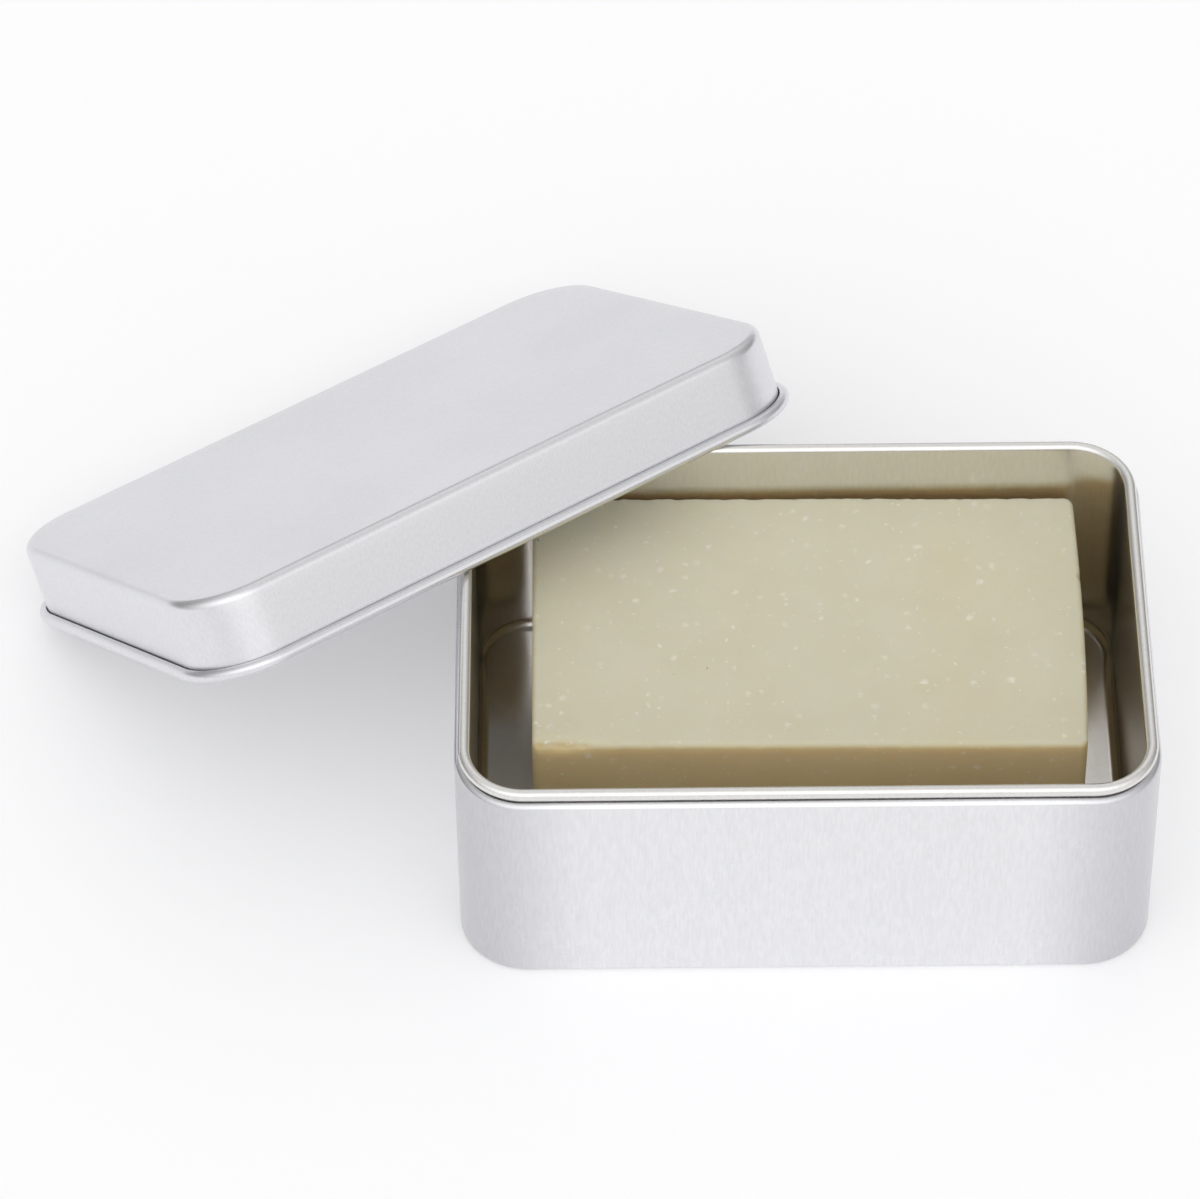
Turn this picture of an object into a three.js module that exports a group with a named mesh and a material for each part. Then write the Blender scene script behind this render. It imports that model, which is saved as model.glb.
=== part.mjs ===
// A soap tin, standing open: the drawn shell, the tray that hangs in it, the slip lid leaning over the
// back left corner, and the bar of soap in the tray. Millimetres, +Z up, with the table at Z = 0 and the
// origin under the middle of the whole set.
//
// The shell, the tray and the lid are each pressed from one sheet. A section line is folded move by move,
// as the sheet is bent, gets the sheet's thickness, and is carried round a rounded rectangle. The shell's
// raw edge is turned in. The tray and the lid end in an outward curl, an open roll whose cut edge faces
// the wall that it came from, and the tray hangs by that curl on the shell's turned-in edge.

import * as THREE from "three";
import { RoundedBoxGeometry } from "three/addons/geometries/RoundedBoxGeometry.js";

// Sheet, common to the shell, the tray and the lid
const SHEET = 0.3;
const CURL_DIAMETER = 1.74; // over the outside of the roll
const CURL_TURN = THREE.MathUtils.degToRad(290);

// Shell, outside sizes
const BODY_WIDTH = 100;
const BODY_DEPTH = 69.6;
const CORNER_RADIUS = 10; // seen from above
const SHOULDER_RADIUS = 1.0; // round the top edge
const FOOT_RADIUS = 1.0; // round the bottom edge

// Tray
const RIM_HEIGHT = 38.3; // table to the crown of the tray's curl
const TRAY_INSET = 2.0; // shell's wall to the tray's wall, both outside
const TRAY_FILLET = 1.7; // inside, between the floor and the wall

// Lid
const LID_CLEARANCE = 0.6; // between the shell's wall and the lid's skirt, all round
const LID_DEPTH = 12.2; // curl to top plate, outside
const LID_EDGE_RADIUS = 2.0;

// How the lid leans: turned about Z, its back curl on the table, its front curl across the tray's rim
const LID_TURN = THREE.MathUtils.degToRad(33.5);
const LID_ASIDE = 7.4; // shell's left wall to the lid's middle
const LID_BEHIND = 4.4; // shell's back wall to the lid's middle

// Soap
const SOAP_LENGTH = 80.0;
const SOAP_WIDTH = 48.9;
const SOAP_THICKNESS = 27.9;
const SOAP_EDGE = 0.8;
const SOAP_TURN = THREE.MathUtils.degToRad(-0.5);
const SOAP_ASIDE = 0.8; // to the right of the tray's middle
const SOAP_BACK_GAP = 0.9; // tray's inner wall to the soap's back face, at its middle

// Left open where one piece rests on another
const SEAT_GAP = 0.3;

// Facets
const CORNER_STEPS = 9;
const BEND_STEP = THREE.MathUtils.degToRad(24);
const SOAP_STEPS = 3;

const QUARTER = Math.PI / 2;
const curlBend = (CURL_DIAMETER - SHEET) / 2;
const shellHeight = RIM_HEIGHT - CURL_DIAMETER - SEAT_GAP;
const trayFloor = SHEET + SEAT_GAP + SHEET;
const cornerX = BODY_WIDTH / 2 - CORNER_RADIUS;
const cornerY = BODY_DEPTH / 2 - CORNER_RADIUS;

// The middle line of a folded sheet. It starts at {out, up}, heading outwards, and each move is a
// straight run or a turn about a bend radius, positive to the left. "out" is measured from the shell's
// outside wall, so it is negative within the shell.
function foldedLine(start, moves) {
  const line = [{ ...start, heading: 0 }];
  for (const { run = 0, turn = 0, radius = 0 } of moves) {
    const from = line.at(-1);
    const steps = Math.max(1, Math.ceil(Math.abs(turn) / BEND_STEP));
    const side = Math.sign(turn) * radius;
    for (let step = 1; step <= steps; step++) {
      const heading = from.heading + (turn * step) / steps;
      const sideOut = side * (Math.sin(heading) - Math.sin(from.heading));
      const sideUp = side * (Math.cos(from.heading) - Math.cos(heading));
      line.push({
        out: from.out + sideOut + run * Math.cos(heading),
        up: from.up + sideUp + run * Math.sin(heading),
        heading,
      });
    }
  }
  return line;
}

// The skin of a folded sheet: out along its right-hand face, round the cut edge and back along the left.
function sheetSection(line) {
  const face = (side) =>
    line.map(({ out, up, heading }) => ({
      out: out - (side * SHEET * Math.sin(heading)) / 2,
      up: up + (side * SHEET * Math.cos(heading)) / 2,
    }));
  return [...face(-1), ...face(1).reverse()];
}

// Unit directions round the plan, with the corner that each belongs to.
const planDirections = [0, 1, 2, 3].flatMap((corner) =>
  Array.from({ length: CORNER_STEPS + 1 }, (_, step) => {
    const angle = QUARTER * (corner + step / CORNER_STEPS);
    const signX = corner === 0 || corner === 3 ? 1 : -1;
    const signY = corner < 2 ? 1 : -1;
    return { x: Math.cos(angle), y: Math.sin(angle), signX, signY };
  }),
);

// A section carried round the rounded rectangle, closed by a flat plate at each of its two ends.
function pressedSheet(section) {
  const around = planDirections.length;
  const positions = section.flatMap(({ out, up }) =>
    planDirections.flatMap(({ x, y, signX, signY }) => {
      const reach = CORNER_RADIUS + out;
      return [signX * cornerX + reach * x, signY * cornerY + reach * y, up];
    }),
  );
  const under = section.length * around;
  const over = under + 1;
  positions.push(0, 0, section[0].up, 0, 0, section.at(-1).up);
  const faces = [];
  for (let j = 0; j < around; j++) {
    const next = (j + 1) % around;
    for (let i = 0; i + 1 < section.length; i++) {
      const a = i * around + j;
      const b = i * around + next;
      faces.push(a, b, b + around, a, b + around, a + around);
    }
    const last = (section.length - 1) * around;
    faces.push(under, next, j, over, last + j, last + next);
  }
  const geometry = new THREE.BufferGeometry();
  geometry.setAttribute("position", new THREE.Float32BufferAttribute(positions, 3));
  geometry.setIndex(faces);
  geometry.computeVertexNormals();
  return geometry;
}

// Floor, rounded bottom edge, wall and turned-in top edge, which stops short of the tray.
function shellSection() {
  return sheetSection(
    foldedLine({ out: -FOOT_RADIUS, up: SHEET / 2 }, [
      { turn: QUARTER, radius: FOOT_RADIUS - SHEET / 2 },
      { run: shellHeight - SHOULDER_RADIUS - FOOT_RADIUS },
      { turn: QUARTER, radius: SHOULDER_RADIUS - SHEET / 2 },
      { run: TRAY_INSET - SHOULDER_RADIUS - SEAT_GAP },
    ]),
  );
}

// Floor, fillet, wall and curl.
function traySection() {
  const start = {
    out: -TRAY_INSET - SHEET - TRAY_FILLET,
    up: trayFloor - SHEET / 2,
  };
  return sheetSection(
    foldedLine(start, [
      { turn: QUARTER, radius: TRAY_FILLET + SHEET / 2 },
      { run: RIM_HEIGHT - CURL_DIAMETER / 2 - trayFloor - TRAY_FILLET },
      { turn: -CURL_TURN, radius: curlBend },
    ]),
  );
}

// Top plate, its rounded edge, skirt and curl, standing on the curl at Z = 0.
function lidSection() {
  const start = {
    out: LID_CLEARANCE + SHEET - LID_EDGE_RADIUS,
    up: LID_DEPTH - SHEET / 2,
  };
  return sheetSection(
    foldedLine(start, [
      { turn: -QUARTER, radius: LID_EDGE_RADIUS - SHEET / 2 },
      { run: LID_DEPTH - LID_EDGE_RADIUS - CURL_DIAMETER / 2 },
      { turn: CURL_TURN, radius: curlBend },
    ]),
  );
}

// The lid's place. The lean is the one that lifts the front curl from the table to the rim's crown.
function placeLid(lid) {
  const curlRadius = CURL_DIAMETER / 2;
  const curlSpan = BODY_DEPTH + 2 * (LID_CLEARANCE + SHEET / 2 + curlBend);
  const lean = Math.asin((RIM_HEIGHT + SEAT_GAP) / curlSpan);
  lid.rotation.set(-lean, 0, LID_TURN, "ZYX");
  lid.position.set(
    -BODY_WIDTH / 2 - LID_ASIDE,
    BODY_DEPTH / 2 + LID_BEHIND,
    curlRadius * (1 - Math.cos(lean)) + (Math.sin(lean) * curlSpan) / 2,
  );
}

const tinplate = () =>
  new THREE.MeshStandardMaterial({ color: 0xd3d4d7, metalness: 1, roughness: 0.38 });
const soapPaste = () =>
  new THREE.MeshStandardMaterial({ color: 0xcdc8b0, metalness: 0, roughness: 0.6 });

function makeShell() {
  const shell = new THREE.Mesh(pressedSheet(shellSection()), tinplate());
  shell.name = "tin_base";
  return shell;
}

function makeTray() {
  const tray = new THREE.Mesh(pressedSheet(traySection()), tinplate());
  tray.name = "tin_tray";
  return tray;
}

function makeLid() {
  const lid = new THREE.Mesh(pressedSheet(lidSection()), tinplate());
  lid.name = "tin_lid";
  placeLid(lid);
  return lid;
}

function makeSoap() {
  const bar = new RoundedBoxGeometry(SOAP_LENGTH, SOAP_WIDTH, SOAP_THICKNESS, SOAP_STEPS, SOAP_EDGE);
  const soap = new THREE.Mesh(bar, soapPaste());
  soap.name = "soap_bar";
  soap.rotation.z = SOAP_TURN;
  soap.position.set(
    SOAP_ASIDE,
    BODY_DEPTH / 2 - TRAY_INSET - SHEET - SOAP_BACK_GAP - SOAP_WIDTH / 2,
    trayFloor + SEAT_GAP + SOAP_THICKNESS / 2,
  );
  return soap;
}

const set = new THREE.Group();
set.add(makeShell(), makeTray(), makeLid(), makeSoap());

// The origin goes under the middle of the set's box, on the table.
const box = new THREE.Box3().setFromObject(set, true);
set.position.set(-(box.min.x + box.max.x) / 2, -(box.min.y + box.max.y) / 2, -box.min.z);

const soapTin = new THREE.Group();
soapTin.add(set);

export default soapTin;
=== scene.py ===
"""An open soap tin: a drawn tinplate shell, the tray that hangs in it by its curl, the slip lid leaning across the
rim, and a hand-cut bar of soap.

Sizes are in millimetres and meshes in metres. The four solids of the frame are built again here as finer
surfaces with the small unevenness of pressed sheet and cut soap, in the same places.
"""

import math

import bpy
import numpy as np
from mathutils import Matrix, Vector


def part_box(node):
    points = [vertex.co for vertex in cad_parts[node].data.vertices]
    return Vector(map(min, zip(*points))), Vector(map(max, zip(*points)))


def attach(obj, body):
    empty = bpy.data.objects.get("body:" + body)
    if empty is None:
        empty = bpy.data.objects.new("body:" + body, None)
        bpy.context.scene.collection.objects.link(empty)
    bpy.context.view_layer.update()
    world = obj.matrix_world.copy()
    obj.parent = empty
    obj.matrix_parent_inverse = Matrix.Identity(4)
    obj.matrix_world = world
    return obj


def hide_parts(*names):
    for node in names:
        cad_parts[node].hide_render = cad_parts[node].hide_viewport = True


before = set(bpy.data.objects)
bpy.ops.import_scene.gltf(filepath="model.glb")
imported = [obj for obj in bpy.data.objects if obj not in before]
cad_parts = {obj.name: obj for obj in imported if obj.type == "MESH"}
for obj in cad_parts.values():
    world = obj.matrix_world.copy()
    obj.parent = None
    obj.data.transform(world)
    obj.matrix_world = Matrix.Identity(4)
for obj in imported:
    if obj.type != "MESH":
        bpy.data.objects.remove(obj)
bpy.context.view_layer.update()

MM = 0.001
QUARTER = math.pi / 2

# Sheet, common to the shell, the tray and the lid
SHEET = 0.3
CURL_DIAMETER = 1.74
CURL_TURN = math.radians(290)

# Shell
BODY_WIDTH = 100.0
BODY_DEPTH = 69.6
CORNER_RADIUS = 10.0
SHOULDER_RADIUS = 1.0
SHOULDER_TURN = math.radians(130)
FOOT_RADIUS = 1.0

# Tray
RIM_HEIGHT = 38.3
TRAY_INSET = 2.0
TRAY_FILLET = 1.7

# Lid
LID_CLEARANCE = 0.6
LID_DEPTH = 12.2
LID_EDGE_RADIUS = 1.3
LID_TURN = math.radians(33.5)
LID_ASIDE = 7.4
LID_BEHIND = 4.4

# Soap
SOAP_LENGTH = 80.0
SOAP_WIDTH = 48.9
SOAP_THICKNESS = 27.9
SOAP_CORNER = 1.4
SOAP_EDGE = 0.8
SOAP_SKIN = 0.9
SOAP_TURN = math.radians(-0.5)
SOAP_ASIDE = 0.8
SOAP_BACK_GAP = 0.9

# Left open where one piece rests on another
SEAT_GAP = 0.3

# Studio: the level of the plain room, and soft boxes as azimuth, elevation and spread in degrees, and strength.
# A key at the front left, a fill at the front right and one box behind, given in round figures.
ROOM = 0.3
SOFT_BOXES = (
    (-120, 45, 40, 1.0),
    (-45, 30, 40, 0.7),
    (90, 45, 30, 0.6),
)

# Fineness of the surfaces
BEND_STEP = math.radians(8)
RUN_STEP = 2.0
CORNER_STEPS = 20
SIDE_STEPS = (30, 20)
FILL_RINGS = 24

CURL_BEND = (CURL_DIAMETER - SHEET) / 2
SHELL_HEIGHT = RIM_HEIGHT - CURL_DIAMETER - SEAT_GAP
TRAY_FLOOR = SHEET + SEAT_GAP + SHEET

tin_low, tin_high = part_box("tin_base")
TIN_MIDDLE = np.array([(tin_low.x + tin_high.x) / 2, (tin_low.y + tin_high.y) / 2, 0.0])


# Surfaces


def folded_line(start, moves):
    """Middle line of a folded sheet, as rows of (out, up, heading).

    It starts at (out, up) heading outwards. Each move is (run, turn, radius): a run goes straight on, and a turn,
    positive to the left, goes round a radius r, by r (sin h - sin h0) outwards and r (cos h0 - cos h) upwards.
    """
    rows = [np.array([[*start, 0.0]])]
    for run, turn, radius in moves:
        out, up, heading = rows[-1][-1]
        steps = math.ceil(max(abs(turn) / BEND_STEP, run / RUN_STEP, 1))
        share = np.arange(1, steps + 1) / steps
        headings = heading + turn * share
        side = math.copysign(radius, turn)
        rows.append(
            np.column_stack(
                [
                    out + side * (np.sin(headings) - math.sin(heading)) + run * share * np.cos(headings),
                    up + side * (math.cos(heading) - np.cos(headings)) + run * share * np.sin(headings),
                    headings,
                ]
            )
        )
    return np.vstack(rows)


def sheet_skin(line):
    """Both faces of a folded sheet as one row of (out, up): the middle line moved half a thickness to the right,
    a half circle round the cut edge, and the line moved half a thickness to the left, walked back."""
    out, up, heading = line.T
    middle = np.column_stack([out, up])
    normal = np.column_stack([-np.sin(heading), np.cos(heading)])
    tip = np.array([math.cos(heading[-1]), math.sin(heading[-1])])
    turn = np.radians([30, 60, 90, 120, 150])[:, None]
    edge = middle[-1] + SHEET / 2 * (np.sin(turn) * tip - np.cos(turn) * normal[-1])
    return np.vstack([middle - normal * SHEET / 2, edge, (middle + normal * SHEET / 2)[::-1]])


def plan_path(half_width, half_depth, radius, corner_steps, side_steps):
    """Once round a rounded rectangle, as rows of (centre x, y, direction x, y): at a corner the direction turns
    about a fixed centre, and along a side the centre slides while the direction stays. side_steps gives the steps
    along the width and along the depth."""
    corner = np.array([[1, 1], [-1, 1], [-1, -1], [1, -1]]) * [half_width - radius, half_depth - radius]
    rows = []
    for k in range(4):
        turn = QUARTER * (k + np.arange(corner_steps) / corner_steps)
        rows.append(np.column_stack([np.tile(corner[k], (corner_steps, 1)), np.cos(turn), np.sin(turn)]))
        steps = side_steps[k % 2]
        slide = np.arange(steps)[:, None] / steps
        centre = corner[k] * (1 - slide) + corner[(k + 1) % 4] * slide
        way = np.tile([math.cos(QUARTER * (k + 1)), math.sin(QUARTER * (k + 1))], (steps, 1))
        rows.append(np.column_stack([centre, way]))
    return np.vstack(rows)


def carried_round(section, plan, radius, fill_rings):
    """Grid of points of a section carried round a plan: each section point (out, up) goes to the plan's centre plus
    its direction times the corner radius plus out. Both ends are filled with the end ring drawn in to the middle."""
    reach = (radius + section[:, 0])[:, None, None]
    level = plan[None, :, :2] + reach * plan[None, :, 2:]
    share = (np.arange(1, fill_rings) / fill_rings)[:, None, None]
    level = np.concatenate([level[:1] * share, level, level[-1:] * share[::-1]])
    up = np.pad(section[:, 1], fill_rings - 1, mode="edge")
    return np.concatenate([level, np.broadcast_to(up[:, None, None], (*level.shape[:2], 1))], axis=2)


def closed_mesh(name, grid, first_pole, last_pole, place, material):
    """A closed surface from a grid of rings: quads between neighbouring rings, triangles to a pole at each end.
    place takes points in millimetres in the piece's own frame to metres in the shared frame."""
    rings, around = grid.shape[:2]
    points = place(np.vstack([grid.reshape(-1, 3), first_pole, last_pole]))
    ring = np.arange(around)
    after = (ring + 1) % around
    start = (np.arange(rings - 1) * around)[:, None]
    quads = np.stack([start + ring, start + after, start + after + around, start + ring + around], axis=-1)
    last = (rings - 1) * around
    low_fan = np.column_stack([np.full(around, rings * around), after, ring])
    high_fan = np.column_stack([np.full(around, rings * around + 1), last + ring, last + after])
    mesh = bpy.data.meshes.new(name)
    mesh.from_pydata(points.tolist(), [], quads.reshape(-1, 4).tolist() + low_fan.tolist() + high_fan.tolist())
    mesh.polygons.foreach_set("use_smooth", np.ones(len(mesh.polygons), bool))
    mesh.update()
    mesh.materials.append(material)
    piece = bpy.data.objects.new(name, mesh)
    bpy.context.scene.collection.objects.link(piece)
    return piece


def pressed_piece(name, section, place, material):
    """A pressed sheet: its section carried round the tin's plan and closed by a flat plate at both ends."""
    plan = plan_path(BODY_WIDTH / 2, BODY_DEPTH / 2, CORNER_RADIUS, CORNER_STEPS, SIDE_STEPS)
    grid = carried_round(section, plan, CORNER_RADIUS, FILL_RINGS)
    return closed_mesh(name, grid, [0, 0, section[0, 1]], [0, 0, section[-1, 1]], place, material)


# Materials


def linear(hex_colour):
    """An sRGB hex colour as linear RGBA."""
    srgb = np.array([int(hex_colour[i : i + 2], 16) for i in (1, 3, 5)]) / 255
    rgb = np.where(srgb <= 0.04045, srgb / 12.92, ((srgb + 0.055) / 1.055) ** 2.4)
    return (*rgb.tolist(), 1.0)


def per_metre(size_mm):
    """A pattern scale: how many features of that size go into a metre."""
    return 1 / (size_mm * MM)


def add(tree, kind, inputs=None, **settings):
    """Adds one node. Settings are its own properties; inputs are values, or sockets to link from."""
    node = tree.nodes.new(kind)
    for key, value in settings.items():
        setattr(node, key, value)
    for key, value in (inputs or {}).items():
        if isinstance(value, bpy.types.NodeSocket):
            tree.links.new(value, node.inputs[key])
        else:
            node.inputs[key].default_value = value
    return node


def new_material(name):
    material = bpy.data.materials.new(name)
    material.use_nodes = True
    material.node_tree.nodes.clear()
    return material, material.node_tree


def drawn_tinplate(name, place, turn, finish, draw, flat, corner):
    """Tinplate, cold rolled and drawn: a silver satin with a fine speckle on the flats, pulled out along the draw on
    the walls, and painted shade: a darker tone towards the rounded corners of the walls. place and turn bring Object
    coordinates into the piece's own frame, finish is the roughness that the rolls and the die left, draw is how many
    times longer the grain is along a wall than across it, and flat and corner are the two tones, corner the painted
    shade."""
    material, tree = new_material(name)
    where = add(tree, "ShaderNodeTexCoord").outputs["Object"]
    own = add(
        tree,
        "ShaderNodeMapping",
        {"Vector": where, "Location": place, "Rotation": turn},
        vector_type="TEXTURE",
    ).outputs["Vector"]

    def towards_corner(axis, start, end):
        """0 to 1 as the distance from the middle along one axis grows from start to end, in millimetres."""
        part = add(tree, "ShaderNodeSeparateXYZ", {"Vector": own}).outputs[axis]
        reach = add(tree, "ShaderNodeMath", {0: part}, operation="ABSOLUTE").outputs[0]
        return add(
            tree,
            "ShaderNodeMapRange",
            {"Value": reach, "From Min": start * MM, "From Max": end * MM},
            interpolation_type="SMOOTHSTEP",
        ).outputs["Result"]

    drawn = add(tree, "ShaderNodeMapping", {"Vector": own, "Scale": (1, 1, 1 / draw)}).outputs["Vector"]
    # The grain of rolled tinplate is about 0.1 mm, drawn at 0.35 mm so that it shows
    grain = add(
        tree, "ShaderNodeTexNoise", {"Vector": drawn, "Scale": per_metre(0.35), "Detail": 1.0, "Roughness": 0.5}
    ).outputs["Fac"]
    cloud = add(
        tree, "ShaderNodeTexNoise", {"Vector": own, "Scale": per_metre(18), "Detail": 3.0, "Roughness": 0.5}
    ).outputs["Fac"]
    # Painted shade: a mask that rises towards the rounded corners of the walls, where the darker corner tone is mixed
    # in.
    corner_shade = add(
        tree,
        "ShaderNodeMath",
        {0: towards_corner("X", 30, 47), 1: towards_corner("Y", 15, 32)},
        operation="MULTIPLY",
    ).outputs[0]
    plain = add(
        tree, "ShaderNodeMix", {"Factor": corner_shade, "A": linear(flat), "B": linear(corner)}, data_type="RGBA"
    ).outputs["Result"]
    shade = add(
        tree,
        "ShaderNodeMapRange",
        {"Value": grain, "From Min": 0.25, "From Max": 0.75, "To Min": 0.96, "To Max": 1.04},
    ).outputs["Result"]
    tone = add(tree, "ShaderNodeVectorMath", {0: plain, "Scale": shade}, operation="SCALE").outputs["Vector"]
    gloss = add(
        tree,
        "ShaderNodeMapRange",
        {"Value": cloud, "From Min": 0.3, "From Max": 0.7, "To Min": finish - 0.02, "To Max": finish + 0.02},
    ).outputs["Result"]
    relief = add(tree, "ShaderNodeBump", {"Height": grain, "Strength": 0.1, "Distance": 0.02 * MM}).outputs["Normal"]
    shader = add(
        tree,
        "ShaderNodeBsdfPrincipled",
        {"Base Color": tone, "Metallic": 1.0, "Roughness": gloss, "Normal": relief},
    )
    add(tree, "ShaderNodeOutputMaterial", {"Surface": shader.outputs["BSDF"]})
    return material


def cut_soap(name):
    """Cold-process soap, cut with a wire and cured: a waxy matt body that lets a little light in, paler and greyer on
    its cured top, yellower on its cut sides, whose brighter tone is partly their own colour and partly painted light,
    with a scatter of pale specks of fat and air and a few dark ones."""
    material, tree = new_material(name)
    where = add(tree, "ShaderNodeTexCoord").outputs["Object"]
    wobble = add(
        tree, "ShaderNodeTexNoise", {"Vector": where, "Scale": per_metre(0.8), "Detail": 1.0}
    ).outputs["Color"]
    shift = add(
        tree, "ShaderNodeVectorMath", {0: wobble, 1: (0.5, 0.5, 0.5)}, operation="SUBTRACT"
    ).outputs["Vector"]
    uneven = add(
        tree, "ShaderNodeVectorMath", {0: shift, 1: (1.1 * MM,) * 3, 2: where}, operation="MULTIPLY_ADD"
    ).outputs["Vector"]

    def specks(spacing, largest):
        """Spots on a scatter of points that spacing apart. A spot's radius is the largest times the cube of a chance
        from 0 to 1, so that most are small, and its strength is another chance."""
        cells = add(tree, "ShaderNodeTexVoronoi", {"Vector": uneven, "Scale": per_metre(spacing)}).outputs
        chance = add(tree, "ShaderNodeSeparateColor", {"Color": cells["Color"]}).outputs
        cubed = add(tree, "ShaderNodeMath", {0: chance["Red"], 1: 3.0}, operation="POWER").outputs[0]
        radius = add(
            tree, "ShaderNodeMath", {0: cubed, 1: largest / spacing, 2: 0.001}, operation="MULTIPLY_ADD"
        ).outputs[0]
        spot = add(tree, "ShaderNodeMath", {0: cells["Distance"], 1: radius}, operation="DIVIDE").outputs[0]
        solid = add(
            tree, "ShaderNodeMapRange", {"Value": spot, "From Min": 1.0, "From Max": 0.35}
        ).outputs["Result"]
        strength = add(
            tree, "ShaderNodeMapRange", {"Value": chance["Green"], "To Min": 0.25, "To Max": 0.85}
        ).outputs["Result"]
        return add(tree, "ShaderNodeMath", {0: solid, 1: strength}, operation="MULTIPLY").outputs[0]

    cloud = add(
        tree, "ShaderNodeTexNoise", {"Vector": where, "Scale": per_metre(9), "Detail": 5.0, "Roughness": 0.6}
    ).outputs["Fac"]
    cured = add(
        tree,
        "ShaderNodeMix",
        {"Factor": cloud, "A": linear("#d2ccb0"), "B": linear("#dbd7c2")},
        data_type="RGBA",
    ).outputs["Result"]
    # The cut sides' tone is their own yellower colour, made brighter as painted light for the light the sides catch.
    cut = add(
        tree,
        "ShaderNodeMix",
        {"Factor": cloud, "A": linear("#dac492"), "B": linear("#e4d1a4")},
        data_type="RGBA",
    ).outputs["Result"]
    skin = add(tree, "ShaderNodeAttribute", attribute_name="skin").outputs["Fac"]
    body = add(tree, "ShaderNodeMix", {"Factor": skin, "A": cut, "B": cured}, data_type="RGBA").outputs["Result"]
    pale = add(
        tree, "ShaderNodeMath", {0: specks(1.8, 0.8), 1: specks(1.0, 0.35)}, operation="MAXIMUM"
    ).outputs[0]
    speckled = add(
        tree, "ShaderNodeMix", {"Factor": pale, "A": body, "B": linear("#ece9dc")}, data_type="RGBA"
    ).outputs["Result"]
    dotted = add(
        tree, "ShaderNodeMix", {"Factor": specks(5.0, 0.3), "A": speckled, "B": linear("#6e6648")}, data_type="RGBA"
    ).outputs["Result"]
    pits = add(
        tree, "ShaderNodeTexNoise", {"Vector": where, "Scale": per_metre(0.6), "Detail": 3.0, "Roughness": 0.6}
    ).outputs["Fac"]
    relief = add(tree, "ShaderNodeBump", {"Height": pits, "Strength": 0.25, "Distance": 0.05 * MM}).outputs["Normal"]
    shader = add(
        tree,
        "ShaderNodeBsdfPrincipled",
        {
            "Base Color": dotted,
            "Roughness": 0.55,
            "IOR": 1.45,
            "Subsurface Weight": 0.7,
            "Subsurface Radius": (1.0, 0.8, 0.45),
            "Subsurface Scale": 4 * MM,
            "Normal": relief,
        },
    )
    add(tree, "ShaderNodeOutputMaterial", {"Surface": shader.outputs["BSDF"]})
    return material


# Shell and tray


def shell_section():
    """Floor, rounded bottom edge, wall, and a top edge that is turned in, dips under the curl and stops short of the
    tray."""
    moves = [
        (0, QUARTER, FOOT_RADIUS - SHEET / 2),
        (SHELL_HEIGHT - SHOULDER_RADIUS - FOOT_RADIUS, 0, 0),
        (0, SHOULDER_TURN, SHOULDER_RADIUS - SHEET / 2),
        (SEAT_GAP / 2, 0, 0),
    ]
    return sheet_skin(folded_line((-FOOT_RADIUS, SHEET / 2), moves))


def tray_section():
    """Floor, fillet, wall and curl."""
    moves = [
        (0, QUARTER, TRAY_FILLET + SHEET / 2),
        (RIM_HEIGHT - CURL_DIAMETER / 2 - TRAY_FLOOR - TRAY_FILLET, 0, 0),
        (0, -CURL_TURN, CURL_BEND),
    ]
    return sheet_skin(folded_line((-TRAY_INSET - SHEET - TRAY_FILLET, TRAY_FLOOR - SHEET / 2), moves))


def place_tin(points):
    return points * MM + TIN_MIDDLE


def make_shell():
    section = shell_section()
    # The shell's second, darker tone is painted shade on the rounded corners of its walls.
    plate = drawn_tinplate("tinplate_drawn_shell", TIN_MIDDLE, (0, 0, 0), 0.28, 6, "#e9e9eb", "#cdcdd0")
    shell = pressed_piece("drawn_shell", section, place_tin, plate)
    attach(shell, "tin")
    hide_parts("tin_base")


def make_tray():
    section = tray_section()
    plate = drawn_tinplate("tinplate_drawn_tray", TIN_MIDDLE, (0, 0, 0), 0.22, 6, "#e4e2df", "#e4e2df")
    tray = pressed_piece("hung_tray", section, place_tin, plate)
    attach(tray, "tray")
    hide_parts("tin_tray")


# Lid


def lid_section():
    """Top plate, rounded edge, skirt and curl, standing on the curl."""
    start = (LID_CLEARANCE + SHEET - LID_EDGE_RADIUS, LID_DEPTH - SHEET / 2)
    moves = [
        (0, -QUARTER, LID_EDGE_RADIUS - SHEET / 2),
        (LID_DEPTH - LID_EDGE_RADIUS - CURL_DIAMETER / 2, 0, 0),
        (0, CURL_TURN, CURL_BEND),
    ]
    return sheet_skin(folded_line(start, moves))


def lid_lie():
    """The lid's lean and its place in millimetres from the tin's middle: back curl on the table, front curl on the
    rim's crown, so the sine of the lean is the rim's height over the span between the curls."""
    span = BODY_DEPTH + 2 * (LID_CLEARANCE + SHEET / 2 + CURL_BEND)
    lean = math.asin((RIM_HEIGHT + SEAT_GAP) / span)
    height = CURL_DIAMETER / 2 * (1 - math.cos(lean)) + math.sin(lean) * span / 2
    return lean, np.array([-BODY_WIDTH / 2 - LID_ASIDE, BODY_DEPTH / 2 + LID_BEHIND, height])


LID_LEAN, LID_PLACE = lid_lie()
LID_FRAME = np.array(Matrix.Rotation(LID_TURN, 3, "Z") @ Matrix.Rotation(-LID_LEAN, 3, "X"))


def place_lid(points):
    return place_tin(points @ LID_FRAME.T + LID_PLACE)


def make_lid():
    section = lid_section()
    turn = (-LID_LEAN, 0, LID_TURN)
    plate = drawn_tinplate("tinplate_drawn_lid", place_tin(LID_PLACE), turn, 0.3, 2, "#e2e2e5", "#e2e2e5")
    lid = pressed_piece("slip_lid", section, place_lid, plate)
    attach(lid, "lid")
    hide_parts("tin_lid")


# Soap


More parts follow.
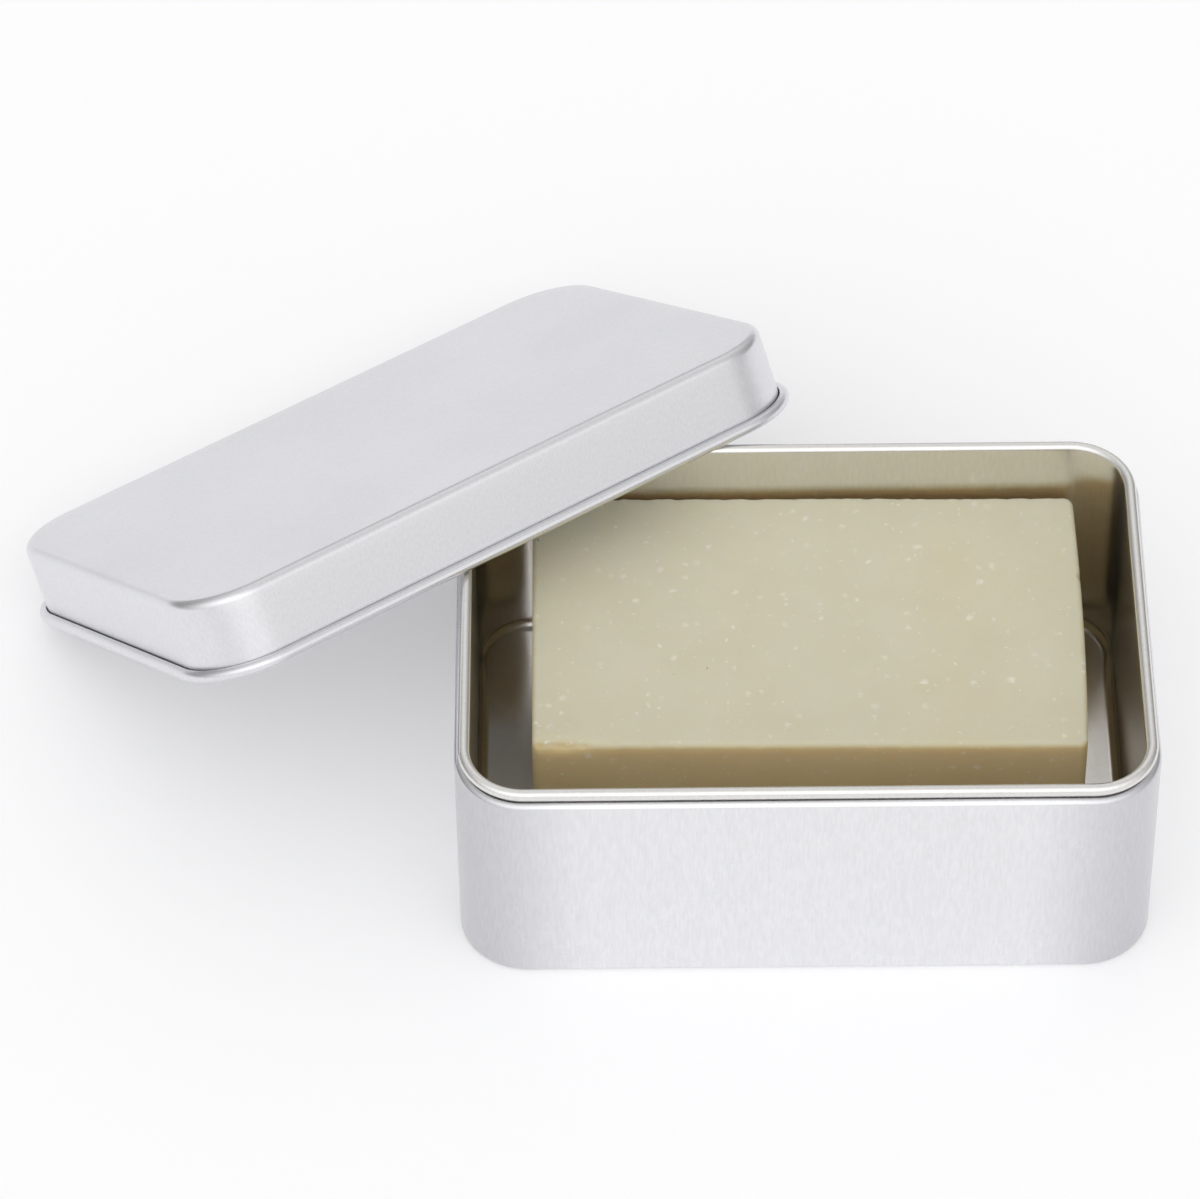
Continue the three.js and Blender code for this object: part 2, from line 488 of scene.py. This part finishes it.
def soap_section():
    """Upright section of the bar: rounded bottom edge, side and rounded top edge."""
    turn = np.linspace(0, QUARTER, 7)
    low = np.column_stack([SOAP_EDGE * (np.sin(turn) - 1), SOAP_EDGE * (1 - np.cos(turn))])
    side = np.linspace(SOAP_EDGE, SOAP_THICKNESS - SOAP_EDGE, 26)[1:-1]
    wall = np.column_stack([np.zeros_like(side), side])
    high = np.column_stack([low[::-1, 0], SOAP_THICKNESS - low[::-1, 1]])
    return np.vstack([low, wall, high])


def ripple(rng, along, size, count):
    """Smooth unevenness along a length: a sum of sines of random phase, with waves from the size given to 4 times
    longer, scaled to stay within about 1."""
    waves = size * np.exp(rng.uniform(0, math.log(4), count))
    phases = rng.uniform(0, 2 * math.pi, count)
    return np.sin(2 * math.pi * along[..., None] / waves + phases).sum(axis=-1) / math.sqrt(2 * count)


def near(distance, reach):
    """A smooth bump of height 1 at distance 0 that fades over the reach."""
    return np.exp(-((distance / reach) ** 2))


def cut_bar():
    """Grid of the bar: its section carried round its outline, then moved by smooth offsets. The right end bows out,
    the left end leans, the top is a little uneven, and its edges are ragged, with a chipped length at the front left
    and a nick in the right edge."""
    half_x, half_y = SOAP_LENGTH / 2, SOAP_WIDTH / 2
    plan = plan_path(half_x, half_y, SOAP_CORNER, 8, (110, 70))
    grid = carried_round(soap_section(), plan, SOAP_CORNER, 30)
    x, y, z = (grid[..., k].copy() for k in range(3))
    rng = np.random.default_rng(5)
    right = np.clip(x / half_x, 0, 1) ** 3
    left = np.clip(-x / half_x, 0, 1) ** 3
    top = np.clip(z / SOAP_THICKNESS, 0, 1) ** 4
    grid[..., 0] += right * (0.3 - 0.5 * (y / half_y) ** 2) + left * (0.05 - 0.25 * y / half_y)
    grid[..., 2] += top * 0.08 * (ripple(rng, x, 22, 5) + ripple(rng, y, 22, 5))
    front_edge = near(np.hypot(y + half_y, z - SOAP_THICKNESS), 0.9)
    back_edge = near(np.hypot(y - half_y, z - SOAP_THICKNESS), 0.7)
    side_edge = near(np.hypot(np.abs(x) - half_x, z - SOAP_THICKNESS), 0.7)
    ragged = 0.16 * (front_edge + back_edge) * ripple(rng, x, 1.6, 9) + 0.12 * side_edge * ripple(rng, y, 1.6, 9)
    chip = 0.55 * near(x + half_x - 4, 4.5) * front_edge * (1 + 0.5 * ripple(rng, x, 1.2, 6))
    grid[..., 1] += chip
    grid[..., 2] += ragged - chip
    nick = 0.5 * near(np.hypot(x - half_x, y - 8.6), 0.45) * near(z - SOAP_THICKNESS, 0.8)
    grid[..., 0] -= nick
    return grid


def place_soap(points):
    turned = points @ np.array(Matrix.Rotation(SOAP_TURN, 3, "Z")).T
    back = BODY_DEPTH / 2 - TRAY_INSET - SHEET - SOAP_BACK_GAP - SOAP_WIDTH / 2
    return place_tin(turned + [SOAP_ASIDE, back, TRAY_FLOOR + SEAT_GAP])


def make_soap():
    grid = cut_bar()
    low = grid[0].mean(axis=0)
    high = grid[-1].mean(axis=0)
    soap = closed_mesh("cut_soap_bar", grid, low, high, place_soap, cut_soap("soap_cut_bar"))
    height = np.concatenate([grid[..., 2].ravel(), [low[2], high[2]]])
    skin = soap.data.attributes.new("skin", "FLOAT", "POINT")
    skin.data.foreach_set("value", np.clip((height - SOAP_THICKNESS) / SOAP_SKIN + 1, 0, 1).astype(np.float32))
    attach(soap, "soap")
    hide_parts("soap_bar")


# Floor, light and camera


def make_floor():
    """A plain white floor. What the camera and the metal see of it is lifted a little, so that it is white where
    nothing shades it and still takes the shadows."""
    material, tree = new_material("white_paper_sweep")
    path = add(tree, "ShaderNodeLightPath").outputs
    seen = add(tree, "ShaderNodeMath", {0: path["Is Camera Ray"], 1: path["Is Glossy Ray"]}, operation="MAXIMUM")
    seen = add(
        tree, "ShaderNodeMath", {0: seen.outputs[0], 1: path["Is Transmission Ray"]}, operation="MAXIMUM"
    ).outputs[0]
    paper = add(tree, "ShaderNodeBsdfDiffuse", {"Color": (0.82, 0.82, 0.83, 1)}).outputs[0]
    lift = add(tree, "ShaderNodeEmission", {"Color": (1, 1, 1, 1), "Strength": 0.24}).outputs[0]
    lifted = add(tree, "ShaderNodeAddShader", {0: paper, 1: lift}).outputs[0]
    surface = add(tree, "ShaderNodeMixShader", {0: seen, 1: paper, 2: lifted}).outputs[0]
    add(tree, "ShaderNodeOutputMaterial", {"Surface": surface})
    reach = 4.0
    mesh = bpy.data.meshes.new("floor")
    corners = [(-reach, -reach, 0), (reach, -reach, 0), (reach, reach, 0), (-reach, reach, 0)]
    mesh.from_pydata(corners, [], [(0, 1, 2, 3)])
    mesh.materials.append(material)
    floor = bpy.data.objects.new("floor", mesh)
    bpy.context.scene.collection.objects.link(floor)


def make_world():
    """Soft boxes round a dim room, as glows: each is strongest in its own direction, falls off with a power of the
    cosine, and is half as strong at its spread. The camera itself sees plain white where it looks past the floor."""
    world = bpy.data.worlds.new("studio")
    world.use_nodes = True
    tree = world.node_tree
    tree.nodes.clear()
    way = add(tree, "ShaderNodeTexCoord").outputs["Generated"]
    light = ROOM
    for azimuth, elevation, spread, strength in SOFT_BOXES:
        az, el = math.radians(azimuth), math.radians(elevation)
        aim = (math.cos(el) * math.cos(az), math.cos(el) * math.sin(az), math.sin(el))
        facing = add(tree, "ShaderNodeVectorMath", {0: way, 1: aim}, operation="DOT_PRODUCT").outputs["Value"]
        facing = add(tree, "ShaderNodeMath", {0: facing, 1: 0.0}, operation="MAXIMUM").outputs[0]
        fall = math.log(0.5) / math.log(math.cos(math.radians(spread)))
        glow = add(tree, "ShaderNodeMath", {0: facing, 1: fall}, operation="POWER").outputs[0]
        light = add(tree, "ShaderNodeMath", {0: glow, 1: strength, 2: light}, operation="MULTIPLY_ADD").outputs[0]
    camera_ray = add(tree, "ShaderNodeLightPath").outputs["Is Camera Ray"]
    seen = add(
        tree, "ShaderNodeMix", {"Factor": camera_ray, "A": light, "B": 1.0}, data_type="FLOAT"
    ).outputs["Result"]
    back = add(tree, "ShaderNodeBackground", {"Color": (1, 1, 1, 1), "Strength": seen})
    add(tree, "ShaderNodeOutputWorld", {"Surface": back.outputs[0]})
    bpy.context.scene.world = world


def make_camera():
    """The photograph's camera, as measured from the edges of the tin and the lid: it looks down at a point on the
    table, given from the tin's middle in millimetres, turned a little to the left and tilted a little."""
    looks_at = np.array([-29.5, 38.2, 0.0])
    distance = 918.6
    above = math.radians(47.37)
    turned = math.radians(0.48)
    tilted = math.radians(-0.91)
    lens = bpy.data.cameras.new("camera")
    lens.sensor_fit = "HORIZONTAL"
    lens.sensor_width = 36.0
    # Focal length in widths of the picture
    lens.lens = 36.0 * 5.014
    lens.clip_start = 0.01
    camera = bpy.data.objects.new("camera", lens)
    aim = Matrix.Rotation(turned, 4, "Z") @ Matrix.Rotation(QUARTER - above, 4, "X")
    aim = aim @ Matrix.Rotation(tilted, 4, "Z")
    back_off = Matrix.Translation(Vector((0, 0, distance * MM)))
    camera.matrix_world = Matrix.Translation(Vector(place_tin(looks_at))) @ aim @ back_off
    bpy.context.scene.collection.objects.link(camera)
    bpy.context.scene.camera = camera


make_shell()
make_tray()
make_lid()
make_soap()

make_floor()
make_world()
make_camera()
bpy.context.scene.view_settings.view_transform = "Standard"
